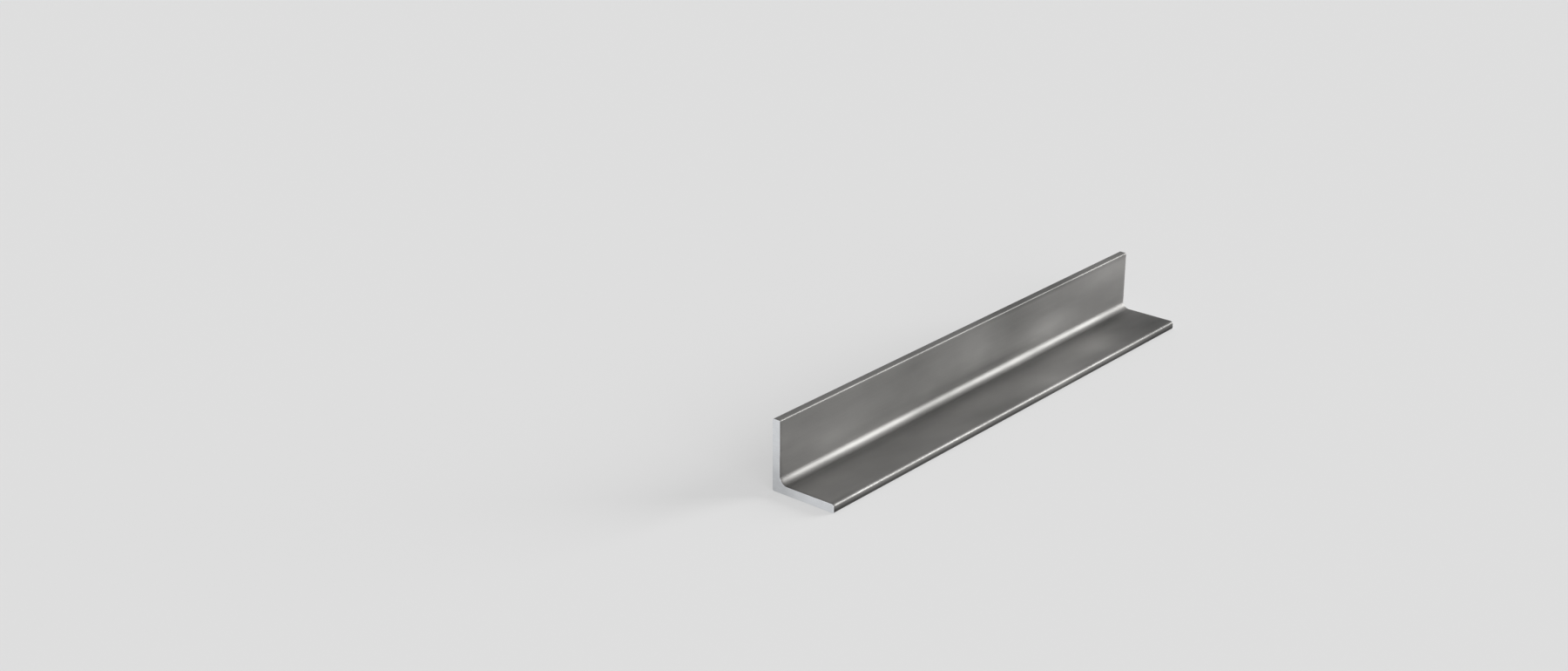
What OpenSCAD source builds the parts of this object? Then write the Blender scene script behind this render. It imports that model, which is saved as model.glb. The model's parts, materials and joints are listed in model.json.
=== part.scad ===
// Equal leg angle section: a hot rolled L shaped steel bar, sawn square to length.
// It lies on one leg with the other leg upright. X runs across the lying leg, Y along
// the bar and Z up. The origin is the middle of the face that it lies on.

/* [Legs] */
// Outside width of the lying leg, from heel to toe
base_leg_width = 50; // [30:1:100]
// Outside height of the upright leg, from heel to toe
upright_leg_height = 50; // [30:1:100]
// Thickness of both legs
leg_thickness = 6; // [5:0.5:10]

/* [Rolled edges] */
// Radius of the fillet in the root, where the inside faces meet
root_radius = 5.5; // [3:0.5:14]
// Radius of the inside edge of the lying leg's toe
base_toe_radius = 2; // [0.5:0.25:4]
// Radius of the inside edge of the upright leg's toe
upright_toe_radius = 1; // [0.5:0.25:4]
// Radius of the outside edge of each toe, which the rolls leave nearly sharp
toe_outer_radius = 1; // [0.2:0.1:1.5]
// Radius of the outside corner of the heel
heel_radius = 1; // [0.2:0.1:2]

/* [Cut length] */
// Length of the piece between its two sawn ends
cut_length = 400; // [100:10:6000]

/* [Hidden] */
$fn = 96;
steel_colour = [0.46, 0.46, 0.455];

// What a rolled edge takes off a square corner. The directions point from the corner
// into the metal, and the round is tangent to both faces there.
module corner_waste(corner, into_metal, radius) {
    difference() {
        translate(corner)
            square(2 * radius, center = true);
        translate(corner + radius * into_metal)
            circle(r = radius);
    }
}

// The metal that fills the root between the inside faces. It starts in the middle of
// the legs' thickness, so that it overlaps them, and ends where it is tangent to them.
module root_fillet() {
    inside_corner = [leg_thickness, leg_thickness];
    start = inside_corner / 2;
    end = inside_corner + [root_radius, root_radius];
    difference() {
        translate(start)
            square(end - start);
        translate(end)
            circle(r = root_radius);
    }
}

// The rolled section, with its heel at the origin and its legs along X and Y.
module rolled_section() {
    base_toe = [base_leg_width, 0];
    base_toe_inside = [base_leg_width, leg_thickness];
    upright_toe = [0, upright_leg_height];
    upright_toe_inside = [leg_thickness, upright_leg_height];
    difference() {
        union() {
            square([base_leg_width, leg_thickness]);
            square([leg_thickness, upright_leg_height]);
            root_fillet();
        }
        corner_waste([0, 0], [1, 1], heel_radius);
        corner_waste(base_toe, [-1, 1], toe_outer_radius);
        corner_waste(base_toe_inside, [-1, -1], base_toe_radius);
        corner_waste(upright_toe, [1, -1], toe_outer_radius);
        corner_waste(upright_toe_inside, [-1, -1], upright_toe_radius);
    }
}

// The bar: the section drawn along Y, with both ends sawn square.
module angle_section() {
    color(steel_colour)
        translate([-base_leg_width / 2, 0, 0])
            rotate([90, 0, 0])
                linear_extrude(height = cut_length, center = true)
                    rolled_section();
}

angle_section();
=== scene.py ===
# %% [markdown]
# A short length of steel angle, as it comes from the rolling mill and the saw.
#
# The real bar was one red hot billet, squeezed through grooved rolls until its section was
# an L with two equal legs. The rolls leave a fillet in the inside corner, round the inside
# edge of each toe and keep the outside edges almost sharp. The bar cooled to a dark satin
# grey, and then a saw cut it square, which left bright metal on both ends.
#
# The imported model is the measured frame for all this. It is loaded first, and its box is
# kept, so that the dressed bar can be compared with it at the end.

# %% Load the measured bar
import json
from math import cos, exp, pi, radians, sin

import bmesh
import bpy
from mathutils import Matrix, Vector, noise


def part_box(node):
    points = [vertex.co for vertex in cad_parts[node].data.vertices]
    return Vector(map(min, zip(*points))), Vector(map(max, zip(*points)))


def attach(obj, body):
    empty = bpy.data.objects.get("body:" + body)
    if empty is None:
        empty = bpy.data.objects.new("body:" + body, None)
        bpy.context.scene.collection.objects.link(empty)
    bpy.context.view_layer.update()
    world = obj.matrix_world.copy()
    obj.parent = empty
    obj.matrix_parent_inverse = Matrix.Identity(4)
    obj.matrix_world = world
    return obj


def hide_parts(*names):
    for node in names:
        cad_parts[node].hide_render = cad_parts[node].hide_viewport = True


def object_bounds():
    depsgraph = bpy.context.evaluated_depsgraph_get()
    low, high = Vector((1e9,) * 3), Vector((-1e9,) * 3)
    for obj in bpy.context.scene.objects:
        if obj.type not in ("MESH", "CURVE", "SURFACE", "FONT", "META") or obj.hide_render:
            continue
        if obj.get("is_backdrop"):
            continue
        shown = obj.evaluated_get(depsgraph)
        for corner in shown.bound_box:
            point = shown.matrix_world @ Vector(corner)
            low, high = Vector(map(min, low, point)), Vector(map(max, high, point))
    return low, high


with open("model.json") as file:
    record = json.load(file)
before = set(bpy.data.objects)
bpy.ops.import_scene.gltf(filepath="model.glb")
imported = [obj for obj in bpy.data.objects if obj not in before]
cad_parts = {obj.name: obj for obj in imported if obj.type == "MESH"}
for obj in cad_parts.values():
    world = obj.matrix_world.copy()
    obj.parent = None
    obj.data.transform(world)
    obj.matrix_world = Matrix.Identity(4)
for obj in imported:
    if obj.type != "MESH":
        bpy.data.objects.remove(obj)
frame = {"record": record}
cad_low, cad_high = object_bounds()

MM = 0.001
NODE = "angle_section"


def in_mm(place):
    return [round(c / MM, 2) for c in place]


print("bar from", in_mm(cad_low), "to", in_mm(cad_high), "mm")

# %% [markdown]
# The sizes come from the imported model. Its box gives the width of each leg and the length,
# and the flat faces that it states as mounts give the thickness. Only the radii of the
# rolled edges are written here, because no box or mount holds them. They are the values
# of the part's source: the toe of the lying leg is a little rounder than the other one.

# %% Read the section's sizes
low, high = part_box(NODE)
faces_at = {mount["name"]: mount["pos_m"] for mount in frame["record"]["mounts"]}
thickness = faces_at["lying_leg_inside"][2]
heel_x, toe_x = low.x, high.x
near_y, far_y = low.y, high.y
length = far_y - near_y
base_leg = toe_x - heel_x
leg_top = high.z
root_radius = 5.5 * MM
base_toe_radius = 2.0 * MM
upright_toe_radius = 1.0 * MM
toe_outer_radius = 1.0 * MM
heel_radius = 1.0 * MM
inside_x = heel_x + thickness
print("legs, thickness and length:", in_mm((base_leg, leg_top, thickness, length)), "mm")

# %% [markdown]
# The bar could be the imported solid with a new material. A rolled bar is never quite flat,
# though, and its sawn corners are broken by a file, so light runs along it a little
# unevenly. That has to be in the shape, so the bar is modelled again to the same sizes:
# the six corners of the L make one face, and that face is drawn out along the bar, as the
# mill does.

# %% Draw the section and roll it out
def start_section():
    corners = (
        (heel_x, 0.0),
        (toe_x, 0.0),
        (toe_x, thickness),
        (inside_x, thickness),
        (inside_x, leg_top),
        (heel_x, leg_top),
    )
    section = bmesh.new()
    section.faces.new([section.verts.new((x, near_y, z)) for x, z in corners])
    return section


def roll_out(bar):
    grown = bmesh.ops.extrude_face_region(bar, geom=bar.faces[:])
    moved = [part for part in grown["geom"] if isinstance(part, bmesh.types.BMVert)]
    bmesh.ops.translate(bar, vec=(0.0, length, 0.0), verts=moved)
    bmesh.ops.recalc_face_normals(bar, faces=bar.faces[:])


bar = start_section()
roll_out(bar)
print("rolled out:", len(bar.verts), "points and", len(bar.faces), "faces")

# %% [markdown]
# Each long edge is found by its place in the section and beveled with its own radius. A
# bevel with a profile of 0.5 is a true quarter round, and its offset is then the radius.
# The root and the toes carry the bright lines of light, so they get the most segments.

# %% Round the rolled edges
SAME_PLACE = 0.001 * MM
QUARTER_ROUND = 0.5
ROUNDS = (
    # place in the section, radius, segments
    (inside_x, thickness, root_radius, 20),
    (toe_x, thickness, base_toe_radius, 14),
    (inside_x, leg_top, upright_toe_radius, 12),
    (toe_x, 0.0, toe_outer_radius, 6),
    (heel_x, leg_top, toe_outer_radius, 6),
    (heel_x, 0.0, heel_radius, 6),
)


def long_edge_at(bar, x, z):
    def on_line(vert):
        return abs(vert.co.x - x) < SAME_PLACE and abs(vert.co.z - z) < SAME_PLACE

    return [edge for edge in bar.edges if all(on_line(vert) for vert in edge.verts)]


def bevel(bar, edges, size, segments):
    bmesh.ops.bevel(
        bar,
        geom=edges,
        offset=size,
        offset_type="OFFSET",
        segments=segments,
        profile=QUARTER_ROUND,
        affect="EDGES",
        material=-1,
    )


for x, z, radius, segments in ROUNDS:
    bevel(bar, long_edge_at(bar, x, z), radius, segments)
print("edges rounded:", len(bar.faces), "faces")

# %% [markdown]
# The saw leaves a sharp edge all round each end, and one stroke of a file breaks it. The
# break is a narrow bevel on every edge of the two end faces.

# %% Break the sawn edges
FILE_BREAK = 0.25 * MM
FILE_SEGMENTS = 2
ALONG_THE_BAR = 0.99


def is_end(face):
    return abs(face.normal.y) > ALONG_THE_BAR


def end_edges(bar):
    return [edge for edge in bar.edges if sum(map(is_end, edge.link_faces)) == 1]


bevel(bar, end_edges(bar), FILE_BREAK, FILE_SEGMENTS)
print("ends filed:", len(bar.faces), "faces")

# %% [markdown]
# The flats are one long face each so far. They are cut into strips along the bar and slices
# across it, which gives points that can follow the slight unevenness of rolled steel. The
# upright face of the lying toe is cut twice more, because its lower part is darker and the
# finish needs points where that changes. All cuts run on planes, so the ends are cut too and
# stay flat.

# %% Cut the flats into strips and slices
STRIP = 3.2 * MM
SLICE = 2.5 * MM
TOE_CUTS = (thickness / 3, thickness / 2)
ON_THE_CUT = 0.0001 * MM
ACROSS, UP = Vector((1.0, 0.0, 0.0)), Vector((0.0, 0.0, 1.0))


def cut_at(bar, reach, direction):
    bmesh.ops.bisect_plane(
        bar,
        geom=bar.verts[:] + bar.edges[:] + bar.faces[:],
        dist=ON_THE_CUT,
        plane_co=direction * reach,
        plane_no=direction,
    )


def strip_lines(leg_end, toe_radius):
    start = thickness + root_radius
    width = leg_end - toe_radius - start
    strips = round(width / STRIP)
    return [start + width * number / strips for number in range(1, strips)]


for from_heel in strip_lines(base_leg, base_toe_radius):
    cut_at(bar, heel_x + from_heel, ACROSS)
for height in (*strip_lines(leg_top, upright_toe_radius), *TOE_CUTS):
    cut_at(bar, height, UP)
long_edges = [edge for edge in bar.edges if edge.calc_length() > length / 2]
slices = round(length / SLICE)
bmesh.ops.subdivide_edges(bar, edges=long_edges, cuts=slices - 1, use_grid_fill=False)
print("cut up:", len(bar.faces), "faces")

# %% [markdown]
# Cooling and straightening leave every face very slightly wavy, by a few hundredths of a
# millimetre. Smooth noise moves each point that far into the metal, never out of it, so
# the bar stays inside its measured box. Close to the ends the waves fade out, which keeps
# the sawn outline crisp.

# %% Give the faces their slight waves
WAVE_DEPTH = 0.06 * MM
WAVE_LENGTH = Vector((14.0, 42.0, 14.0)) * MM
CALM_ENDS = 4.0 * MM


def wave_at(place):
    scaled = Vector(c / w for c, w in zip(place, WAVE_LENGTH))
    return 0.5 + 0.5 * noise.noise(scaled)


def make_wavy(bar):
    bar.normal_update()
    moves = []
    for vert in bar.verts:
        to_end = min(vert.co.y - near_y, far_y - vert.co.y)
        fade = min(1.0, max(0.0, to_end / CALM_ENDS))
        moves.append((vert, vert.normal * (-WAVE_DEPTH * fade * wave_at(vert.co))))
    for vert, move in moves:
        vert.co += move
    return max(move.length for _, move in moves)


print(f"waves: up to {make_wavy(bar) / MM:.3f} mm deep")

# %% [markdown]
# Where a bar is dragged over racks and other bars, its scale wears off first. On this one
# that is the heel and the upper edge of the lying toe. That edge is also where the lying
# toe's line of light falls, so its lighter worn grey brightens the line as painted highlight,
# on top of the wear. The upright toe gets no wear, and its line of light is weaker. The
# finish has to know where the wear is, so every point gets a number for it, 1 on such an edge
# and 0 on the flats, which fades over a few millimetres. The numbers are kept in the mesh as
# an attribute, and the finish reads them later.

# %% Mark the edges that rub, with the painted highlight on the lying toe
RUB_AND_SHEEN_REACH = 2.6 * MM
RUB_AND_SHEEN = "rub"
# the lying toe's edge here carries its line of light: its wear is partly painted highlight
RUBBED_AND_SHEEN_CORNERS = ((heel_x, 0.0), (toe_x, thickness))


def rub_and_sheen_at(place):
    nearest = min(Vector((place.x - x, place.z - z)).length for x, z in RUBBED_AND_SHEEN_CORNERS)
    return max(0.0, 1.0 - nearest / RUB_AND_SHEEN_REACH)


def mark(bar, name, value_at):
    layer = bar.verts.layers.float.new(name)
    for vert in bar.verts:
        vert[layer] = value_at(vert.co)
    values = [vert[layer] for vert in bar.verts]
    print(f"{name}: {min(values):.2f} to {max(values):.2f}")


mark(bar, RUB_AND_SHEEN, rub_and_sheen_at)

# %% [markdown]
# Mill scale is never one even grey. Where the bar lay against another one while it cooled, or
# where water ran off it, the scale is lighter or darker in a soft cloud. This bar has a few
# large ones, so each is written down: the leg it is on, where its middle is, how far it
# spreads and how much lighter it is. The same table holds painted shade too: dark bands just
# beside the root on both legs, and dark stretches on the lines of light along both toes. A
# cloud in the root lies on both legs, and the root rows make the fillet's line of light
# brighter in some places and dimmer in others, as painted highlight and painted shade. They
# are stored as a second attribute, because every cloud is far larger than the distance
# between points.

# %% Put the large clouds and the painted shade where the bar has them
CLOUD_AND_SHADE = "cloud"
UPRIGHT, LYING, ROOT = "upright", "lying", "root"
CLOUDS_AND_SHADE = (
    # leg, middle from the heel and from the bar's middle, spread across and along, lighter by
    (UPRIGHT, 22.0, 100.0, 8.0, 25.0, 0.43),
    (UPRIGHT, 20.0, -146.0, 7.5, 24.0, 0.33),
    (UPRIGHT, 31.0, -145.0, 9.0, 70.0, 0.15),
    (UPRIGHT, 43.0, 180.0, 11.0, 36.0, 0.34),
    (UPRIGHT, 35.0, 8.0, 16.0, 18.0, 0.18),
    (UPRIGHT, 38.0, 56.0, 13.0, 24.0, -0.28),
    (UPRIGHT, 38.0, -66.0, 17.0, 30.0, -0.18),
    # painted shade: dark bands just above the root
    (UPRIGHT, 13.5, 18.0, 4.0, 56.0, -0.36),
    (UPRIGHT, 17.0, -28.0, 7.0, 18.0, -0.14),
    # painted shade: dimmer stretches of the upright toe's line of light
    (UPRIGHT, 49.5, 85.0, 2.0, 80.0, -0.42),
    (UPRIGHT, 49.5, 200.0, 2.0, 30.0, -0.26),
    (UPRIGHT, 49.5, -195.0, 2.0, 34.0, -0.10),
    (LYING, 30.0, 124.0, 11.0, 22.0, 0.42),
    (LYING, 29.0, 82.0, 8.0, 18.0, 0.16),
    (LYING, 45.0, 54.0, 12.0, 20.0, 0.38),
    (LYING, 26.0, -22.0, 8.0, 24.0, 0.14),
    (LYING, 26.0, -176.0, 9.0, 30.0, 0.14),
    (LYING, 44.0, -14.0, 9.0, 32.0, -0.22),
    (LYING, 42.0, -120.0, 10.0, 70.0, -0.08),
    (LYING, 42.0, 104.0, 8.0, 30.0, -0.10),
    (LYING, 39.0, 186.0, 22.0, 38.0, -0.56),
    # painted shade: dark bands just beside the root
    (LYING, 14.5, 16.0, 5.0, 60.0, -0.24),
    (LYING, 14.0, -130.0, 5.0, 80.0, -0.18),
    (LYING, 14.0, 150.0, 5.0, 60.0, -0.30),
    # painted shade: dimmer stretches of the lying toe's line of light
    (LYING, 49.0, -198.0, 2.0, 28.0, -0.26),
    (LYING, 49.0, 84.0, 2.0, 50.0, -0.12),
    # painted highlight and painted shade on the fillet's line of light; the row at -200 dims
    # it near the near end
    (ROOT, 8.0, -116.0, 3.5, 34.0, 0.34),
    (ROOT, 8.0, -200.0, 4.0, 16.0, -0.30),
    (ROOT, 8.0, -48.0, 3.5, 20.0, -0.12),
    (ROOT, 8.0, 60.0, 3.5, 20.0, 0.26),
    (ROOT, 8.0, 136.0, 3.5, 40.0, -0.10),
)


def cloud_and_shade_at(place):
    on_upright = place.z > place.x - heel_x
    leg, across = (UPRIGHT, place.z) if on_upright else (LYING, place.x - heel_x)
    lighter = 0.0
    for cloud_leg, middle, along, reach_across, reach_along, by in CLOUDS_AND_SHADE:
        if cloud_leg in (leg, ROOT):
            off_across = (across / MM - middle) / reach_across
            off_along = (place.y / MM - along) / reach_along
            lighter += by * exp(-(off_across**2 + off_along**2))
    return lighter


mark(bar, CLOUD_AND_SHADE, cloud_and_shade_at)

# %% [markdown]
# The lower half of the lying toe, close to the floor, is painted much darker than the rest:
# painted shade near the floor. It is marked the same way.

# %% Mark the painted shade on the lying toe's foot
# painted shade near the floor on the lying toe: it starts below the first height and is full
# below the second
TOE_FOOT_SHADE = "shelter"
TOE_SHADE_TOP = 3.5 * MM
TOE_SHADE_FULL = 2.0 * MM


def toe_foot_shade_at(place):
    low_enough = min(1.0, max(0.0, (TOE_SHADE_TOP - place.z) / (TOE_SHADE_TOP - TOE_SHADE_FULL)))
    return low_enough if place.x > toe_x - thickness else 0.0


mark(bar, TOE_FOOT_SHADE, toe_foot_shade_at)

# %% [markdown]
# The mesh becomes an object that rides on the part's only body and stands for the packed
# solid. Its first material is the rolled skin, and its second is the cut metal of the ends
# and of their broken edges, which are the faces that turn away from the long faces. The
# long faces are shaded smooth, so that the rounds don't show their segments.

# %% Make the bar's object
ROLLED, SAWN = 0, 1
TURNED_TO_THE_END = 0.3
for face in bar.faces:
    sawn = abs(face.normal.y) > TURNED_TO_THE_END
    face.material_index = SAWN if sawn else ROLLED
    face.smooth = not sawn
mesh = bpy.data.meshes.new("rolled_bar")
bar.to_mesh(mesh)
bar.free()
rolled_bar = bpy.data.objects.new("rolled_bar", mesh)
bpy.context.scene.collection.objects.link(rolled_bar)
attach(rolled_bar, "root")
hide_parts(NODE)
print("bar:", len(mesh.vertices), "points,", len(mesh.polygons), "faces")

# %% [markdown]
# A finish is a small network of nodes. Wiring it by hand takes many lines that all look the
# same. Here one class holds the network and has one method that adds any node, and a second
# small class wraps a socket and turns +, - and * into Math nodes. A finish then reads like
# the sum that it is.

# %% Two small classes for finishes
class Wire:
    def __init__(self, finish, socket):
        self.finish = finish
        self.socket = socket

    def math(self, operation, *values):
        inputs = dict(enumerate(values))
        return self.finish.node("ShaderNodeMath", {"operation": operation}, inputs)

    def __add__(self, other):
        return self.math("ADD", self, other)

    def __radd__(self, other):
        return self.math("ADD", other, self)

    def __sub__(self, other):
        return self.math("SUBTRACT", self, other)

    def __rsub__(self, other):
        return self.math("SUBTRACT", other, self)

    def __mul__(self, other):
        return self.math("MULTIPLY", self, other)

    def __rmul__(self, other):
        return self.math("MULTIPLY", other, self)


class Finish:
    def __init__(self, owner):
        owner.use_nodes = True
        self.tree = owner.node_tree
        self.tree.nodes.clear()

    def node(self, kind, settings=None, inputs=None, output=0):
        made = self.tree.nodes.new(kind)
        for name, value in (settings or {}).items():
            setattr(made, name, value)
        for name, value in (inputs or {}).items():
            if isinstance(value, Wire):
                self.tree.links.new(value.socket, made.inputs[name])
            else:
                made.inputs[name].default_value = value
        return Wire(self, made.outputs[output]) if made.outputs else None

    def end_with(self, shader):
        self.node("ShaderNodeOutputMaterial", inputs={"Surface": shader})


# %% [markdown]
# Most of what shows on plain steel is noise of one kind or another: cloudy patches, marks
# drawn out along the bar, and fine grain. One helper gives noise whose lumps have a stated
# size in millimetres along X, Y and Z. It reads Object coordinates, so the pattern stays on
# the metal and runs through round corners without a seam. Its middle value is 0.
#
# A second helper adds up several noises, each by its own amount. A third is a soft step: 0
# below one value, 1 above another.

# %% Noise with lumps of a stated size
SEED_SHIFT = (1.7, 2.3, 3.1)


def lumps(finish, size_mm, seed, detail=2.0):
    place = finish.node(
        "ShaderNodeMapping",
        {"vector_type": "POINT"},
        {
            "Vector": finish.node("ShaderNodeTexCoord", output="Object"),
            "Location": tuple(seed * shift for shift in SEED_SHIFT),
            "Scale": tuple(1.0 / (size * MM) for size in size_mm),
        },
    )
    level = finish.node(
        "ShaderNodeTexNoise",
        {"noise_dimensions": "3D"},
        {"Vector": place, "Scale": 1.0, "Detail": detail, "Roughness": 0.5},
    )
    return level - 0.5


def mixed(patterns, amounts):
    return sum(patterns[name] * amount for name, amount in amounts.items())


def soft_step(finish, value, start, end):
    return finish.node(
        "ShaderNodeMapRange",
        {"interpolation_type": "SMOOTHSTEP"},
        {"Value": value, "From Min": start, "From Max": end},
    )


# %% [markdown]
# The skin of a hot rolled bar is a thin, tight layer of scale. It is a dark, slightly warm
# grey, and it shines like dull metal: a lamp doesn't show in it as a spot, but as a broad
# soft band along each round. A plain metal colour with one roughness would look cast. What
# is missing from it is of two kinds. Three things have no place of their own, so they are
# noise, and fit a bar of any length.
#
# - Patches a few centimetres across, where the scale cooled a little differently.
# - Streaks along the bar, drawn out by the rolls.
# - Fine grain, which makes the bright bands sparkle a little.
#
# A fourth noise, for shallow dents, is made with them and is only used for the relief.
#
# Three others do have their places, and the mesh holds them already: the large clouds with
# the painted shade and highlight among them, the painted shade on the foot of the lying toe,
# and the worn edges, which are lighter and smoother, and on the lying toe partly painted
# highlight. The noise also nibbles at the wear, so that it doesn't end in a ruled line.

# %% The tone of the rolled skin
SCALE_GREY = (0.1425, 0.1402, 0.1357)
# the worn grey is lighter: on the lying toe's edge it is partly painted highlight
WORN_AND_SHEEN_GREY = (0.205, 0.203, 0.1997)
UNEVEN_TONE = {"patches": 0.42, "streaks": 0.20, "grain": 0.22}
# how much the painted shade near the floor darkens the lying toe
TOE_SHADE_DARKER = 0.58
RAGGED_WEAR_AND_SHEEN = {"grain": 0.9, "patches": 0.6}
WEAR_AND_SHEEN_STARTS, WEAR_AND_SHEEN_FULL = 0.45, 0.95
WORN_AND_SHEEN_SHARE = 0.6
MIX_A, MIX_B, MIX_RESULT = 6, 7, 2  # the colour sockets of a Mix node


def skin_patterns(finish):
    return {
        "patches": lumps(finish, (24.0, 52.0, 24.0), seed=1.0),
        "streaks": lumps(finish, (1.3, 110.0, 1.3), seed=2.0, detail=3.0),
        "grain": lumps(finish, (1.0, 1.6, 1.0), seed=3.0, detail=3.0),
        "dents": lumps(finish, (2.6, 5.0, 2.6), seed=4.0, detail=1.0),
    }


def marked(finish, name):
    return finish.node("ShaderNodeAttribute", {"attribute_name": name}, output="Fac")


def skin_wear_and_sheen(finish, patterns):
    ragged = marked(finish, RUB_AND_SHEEN) + mixed(patterns, RAGGED_WEAR_AND_SHEEN)
    return soft_step(finish, ragged, WEAR_AND_SHEEN_STARTS, WEAR_AND_SHEEN_FULL)


def shade_of(finish, colour, tone):
    settings = {"operation": "SCALE"}
    return finish.node("ShaderNodeVectorMath", settings, {0: colour, "Scale": tone})


def skin_colour(finish, patterns, wear_and_sheen):
    # the clouds bring their painted shade and painted highlight in here
    open_tone = 1.0 + mixed(patterns, UNEVEN_TONE) + marked(finish, CLOUD_AND_SHADE)
    # painted shade near the floor darkens the foot of the lying toe here
    tone = open_tone * (1.0 - marked(finish, TOE_FOOT_SHADE) * TOE_SHADE_DARKER)
    return finish.node(
        "ShaderNodeMix",
        {"data_type": "RGBA"},
        {
            "Factor": wear_and_sheen * WORN_AND_SHEEN_SHARE,
            MIX_A: shade_of(finish, SCALE_GREY, tone),
            MIX_B: shade_of(finish, WORN_AND_SHEEN_GREY, tone),
        },
        output=MIX_RESULT,
    )


# %% [markdown]
# The same patterns set how rough the skin is, so a lighter patch is also a little smoother,
# as on the real bar. The grain and the shallow dents of the rolls go into a Bump node. Their
# depth is only a few thousandths of a millimetre, enough to break up the light on the
# rounds but not to show on the flats.

# %% The shine and relief of the rolled skin
SCALE_ROUGHNESS = 0.56
UNEVEN_ROUGHNESS = {"patches": -0.16, "streaks": 0.10, "grain": 0.12}
WEAR_SMOOTHER = 0.10
SKIN_RELIEF = {"grain": 0.7, "dents": 1.0, "streaks": 0.25}
SKIN_DEPTH = 0.020 * MM


def relief(finish, patterns, amounts, depth):
    height = mixed(patterns, amounts)
    inputs = {"Strength": 1.0, "Distance": depth, "Height": height}
    return finish.node("ShaderNodeBump", inputs=inputs)


def steel(finish, colour, roughness, normal):
    inputs = {"Base Color": colour, "Metallic": 1.0, "Roughness": roughness, "Normal": normal}
    finish.end_with(finish.node("ShaderNodeBsdfPrincipled", inputs=inputs))


def rolled_finish():
    material = bpy.data.materials.new("rolled_steel")
    finish = Finish(material)
    patterns = skin_patterns(finish)
    wear_and_sheen = skin_wear_and_sheen(finish, patterns)
    uneven = mixed(patterns, UNEVEN_ROUGHNESS)
    steel(
        finish,
        skin_colour(finish, patterns, wear_and_sheen),
        SCALE_ROUGHNESS + uneven - wear_and_sheen * WEAR_SMOOTHER,
        relief(finish, patterns, SKIN_RELIEF, SKIN_DEPTH),
    )
    return material


# %% [markdown]
# The sawn ends are bare metal. It is much lighter than the skin and a little cold beside it.
# Towards the heel, close to the floor, the cut is painted darker: painted shade. One grey for
# the whole end would miss that, so its tone follows the distance from the heel. Only the
# place in the section counts for it, and the place along the bar is multiplied by 0, so that
# both ends look the same.

# %% The tone of the sawn ends
SAWN_GREY = (0.868, 0.888, 0.914)
# painted shade: how much darker the end is at the heel, close to the floor
HEEL_SHADE = 0.28
HEEL_SHADE_REACH = 34.0 * MM


def away_from_heel_shade(finish):
    in_section = finish.node(
        "ShaderNodeVectorMath",
        {"operation": "MULTIPLY"},
        {0: finish.node("ShaderNodeTexCoord", output="Object"), 1: (1.0, 0.0, 1.0)},
    )
    from_heel = finish.node(
        "ShaderNodeVectorMath",
        {"operation": "DISTANCE"},
        {0: in_section, 1: (heel_x, 0.0, 0.0)},
        output="Value",
    )
    return soft_step(finish, from_heel, 0.0, HEEL_SHADE_REACH)


# %% [markdown]
# The teeth of the saw leave faint level lines, and the light catches them unevenly. The
# lines are noise drawn out 40 mm one way and less than a millimetre the other. Patches and
# fine grain are added, as on the skin, but weaker. A fine saw leaves the metal smoother than
# the skin, so it mirrors the pale floor and looks pale itself.

# %% The marks of the saw
SAWN_TONE = {"lines": 0.10, "patches": 0.14, "grain": 0.04}
SAWN_ROUGHNESS = 0.20
UNEVEN_SHINE = {"lines": 0.05, "patches": 0.05}
SAWN_RELIEF = {"lines": 1.0, "grain": 0.3}
SAWN_DEPTH = 0.002 * MM


def sawn_patterns(finish):
    return {
        "lines": lumps(finish, (40.0, 4.0, 0.7), seed=5.0),
        "patches": lumps(finish, (8.0, 8.0, 8.0), seed=6.0),
        "grain": lumps(finish, (0.5, 0.5, 0.5), seed=7.0),
    }


def sawn_finish():
    material = bpy.data.materials.new("sawn_steel")
    finish = Finish(material)
    patterns = sawn_patterns(finish)
    # painted shade: the end gets darker towards the heel
    heel_shade_tone = 1.0 - HEEL_SHADE + away_from_heel_shade(finish) * HEEL_SHADE
    steel(
        finish,
        shade_of(finish, SAWN_GREY, heel_shade_tone + mixed(patterns, SAWN_TONE)),
        SAWN_ROUGHNESS + mixed(patterns, UNEVEN_SHINE),
        relief(finish, patterns, SAWN_RELIEF, SAWN_DEPTH),
    )
    return material


mesh.materials.append(rolled_finish())
mesh.materials.append(sawn_finish())
print("finishes:", [material.name for material in mesh.materials])

# %% [markdown]
# The bar lies on a plain pale floor, which is also the background. A pale floor under soft
# light would do, but the bar's shadow on it would be heavier than in a bright studio, where
# the walls throw light into it. So for rays that look at the floor, straight or in the
# steel, part of it is replaced by an even glow of the same grey. The rest still takes the
# shadow. Light that the floor sends back up is left as it is.

# %% The pale floor
PALE = (0.72, 0.72, 0.72, 1.0)
SHADOW_KEPT = 0.32
FLOOR_SIZE = 12.0
FLOOR_GAP = 0.2 * MM


def looked_at(finish):
    camera, glossy, through = (
        finish.node("ShaderNodeLightPath", output=ray)
        for ray in ("Is Camera Ray", "Is Glossy Ray", "Is Transmission Ray")
    )
    return camera.math("MAXIMUM", camera, glossy.math("MAXIMUM", glossy, through))


def pale_floor():
    bpy.ops.mesh.primitive_plane_add(size=FLOOR_SIZE, location=(0.0, 0.0, -FLOOR_GAP))
    floor = bpy.context.object
    floor.name = "floor"
    material = bpy.data.materials.new("pale_floor")
    finish = Finish(material)
    lit = finish.node("ShaderNodeBsdfDiffuse", inputs={"Color": PALE})
    even = finish.node("ShaderNodeEmission", inputs={"Color": PALE})
    amount = looked_at(finish) * (1.0 - SHADOW_KEPT)
    mix = finish.node("ShaderNodeMixShader", inputs={"Fac": amount, 1: lit, 2: even})
    finish.end_with(mix)
    floor.data.materials.append(material)
    floor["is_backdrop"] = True


pale_floor()
print(f"floor: {FLOOR_SIZE:.0f} m wide, {SHADOW_KEPT:.0%} of it takes the shadow")

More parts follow.
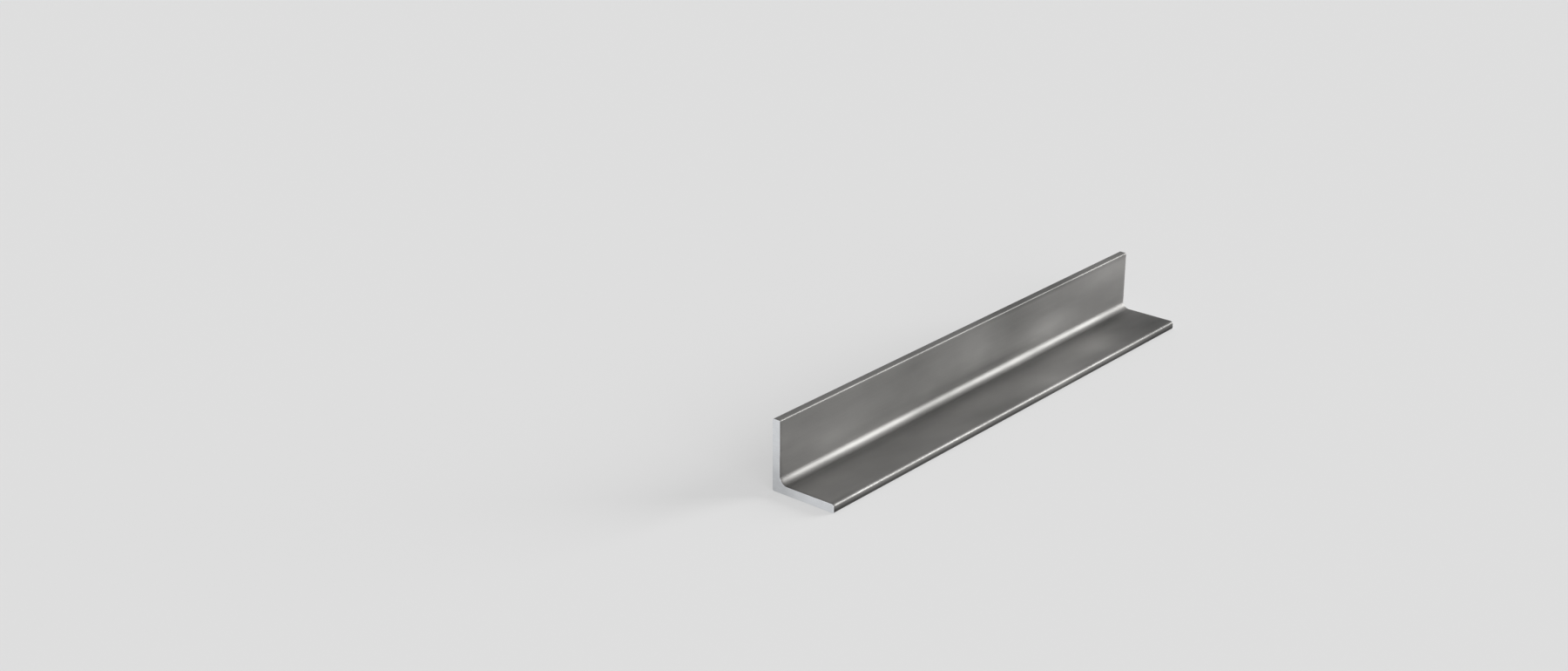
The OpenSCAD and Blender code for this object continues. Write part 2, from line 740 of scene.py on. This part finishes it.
# %% [markdown]
# An even sky lights every side a little, as the walls of a bright studio do. It is darker
# than the floor, and would show as a band above it and in the steel. So rays that look at
# it, straight or in the steel, see the floor's own grey.

# %% The sky
WHITE = (1.0, 1.0, 1.0, 1.0)
SKY_LEVEL = 0.35


def even_sky():
    world = bpy.data.worlds.new("sky")
    bpy.context.scene.world = world
    finish = Finish(world)
    lighting, backdrop = (
        finish.node("ShaderNodeBackground", inputs={"Color": colour, "Strength": level})
        for colour, level in ((WHITE, SKY_LEVEL), (PALE, 1.0))
    )
    shown = {"Fac": looked_at(finish), 1: lighting, 2: backdrop}
    sky = finish.node("ShaderNodeMixShader", inputs=shown)
    finish.node("ShaderNodeOutputWorld", inputs={"Surface": sky})


even_sky()
print("sky: lights at", SKY_LEVEL, "and shows as", PALE[:3])

# %% [markdown]
# The bright bands on the rounds show where the lamps are. On each round the band sits where
# the steel leans about halfway between up and right, and seen from the camera such steel
# mirrors a low place behind the bar, to the right. So the main lamp is there, wide enough to
# be soft. Two very wide and weaker lamps fill in: one high behind the bar, for the faces that
# look up, and one low on the right, for the toe and the inside of the upright leg.
#
# The sky and the lamps together light the floor at about the level 1, at which a colour
# looks as it is written. A lamp counts there by the sine of its height over the floor.

# %% The lamps
LAMPS = {
    # the energy is in watts per square metre, the rest in degrees
    "key": {"energy": 5.0, "spread": 32.0, "azimuth": 30.0, "elevation": 15.0},
    "high": {"energy": 0.6, "spread": 55.0, "azimuth": 0.0, "elevation": 50.0},
    "side": {"energy": 2.2, "spread": 55.0, "azimuth": 120.0, "elevation": 10.0},
}


def direction(azimuth, elevation):
    a, e = radians(azimuth), radians(elevation)
    return Vector((sin(a) * cos(e), cos(a) * cos(e), sin(e)))


def soft_lamp(name, energy, spread, azimuth, elevation):
    lamp = bpy.data.lights.new(name, "SUN")
    lamp.energy = energy
    lamp.angle = radians(spread)
    holder = bpy.data.objects.new(name, lamp)
    holder.rotation_mode = "QUATERNION"
    holder.rotation_quaternion = direction(azimuth, elevation).to_track_quat("Z", "Y")
    bpy.context.scene.collection.objects.link(holder)


def level_on_floor(energy, spread, azimuth, elevation):
    return energy * direction(azimuth, elevation).z / pi


for name, lamp in LAMPS.items():
    soft_lamp(name, **lamp)
floor_level = SKY_LEVEL + sum(level_on_floor(**lamp) for lamp in LAMPS.values())
print(f"light on the floor: level {floor_level:.2f}")

# %% [markdown]
# The camera stands where the photograph was taken from. Its place was worked out from the
# corners and long edges of the bar, with a 50 mm lens on a 36 mm wide frame. It looks down
# on the bar by about 22 degrees, from the near end and a little to the right.

# %% The camera
CAMERA_PLACE = Vector((785.6, -1135.9, 614.0)) * MM
CAMERA_AZIMUTH = 139.44
CAMERA_ELEVATION = 22.31
LENS = 50.0
FRAME_WIDTH = 36.0


def photo_camera():
    lens = bpy.data.cameras.new("camera")
    lens.sensor_width = FRAME_WIDTH
    lens.lens = LENS
    camera = bpy.data.objects.new("camera", lens)
    camera.location = CAMERA_PLACE
    camera.rotation_mode = "QUATERNION"
    looks = -direction(CAMERA_AZIMUTH, CAMERA_ELEVATION)
    camera.rotation_quaternion = looks.to_track_quat("-Z", "Y")
    bpy.context.scene.collection.objects.link(camera)
    bpy.context.scene.camera = camera


photo_camera()
print("camera at", in_mm(CAMERA_PLACE), "mm")
bpy.context.scene.view_settings.view_transform = "Standard"

# %% [markdown]
# Last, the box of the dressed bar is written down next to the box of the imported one.

# %% Compare the boxes and finish
new_low, new_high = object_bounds()
print("dressed bar from", in_mm(new_low), "to", in_mm(new_high), "mm")
